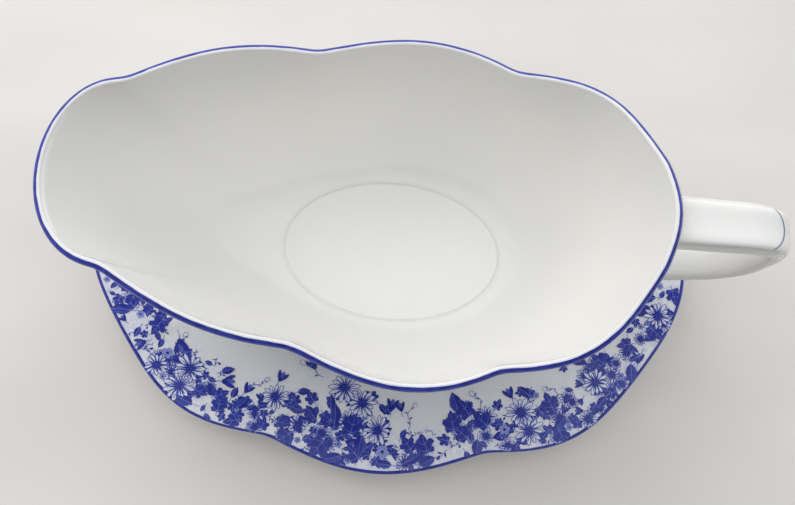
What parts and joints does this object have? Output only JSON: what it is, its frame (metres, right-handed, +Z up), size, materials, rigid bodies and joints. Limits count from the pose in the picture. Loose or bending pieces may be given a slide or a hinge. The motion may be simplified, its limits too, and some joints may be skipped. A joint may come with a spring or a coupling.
{
  "type": "gravy boat",
  "caption": "Oval gravy boat with a scalloped rim, broad spout and strap loop handle, standing loose on its scalloped oval underplate.",
  "frame": {"origin": "on the table, under the middle of the set's length and width", "axes": "+X towards the handle, -X towards the spout, +Y across the boat, +Z up"},
  "size_m": [0.215, 0.1508, 0.0905],
  "materials": {
    "boat_china": "clear glossy glaze over white bone china, with a cobalt line on the rim",
    "handle_china": "clear glossy glaze over white bone china",
    "plate_china": "clear glossy glaze over bone china with a blue floral print and a cobalt edge line"
  },
  "bodies": {
    "underplate": {"underplate": "plate_china"},
    "boat": {"boat_body": "boat_china", "handle": "handle_china"}
  },
  "joints": [
    {"name": "boat_lift", "type": "slide", "parent": "underplate", "child": "boat", "axis": [0, 0, 1], "range_m": [0, 0.12]}
  ]
}
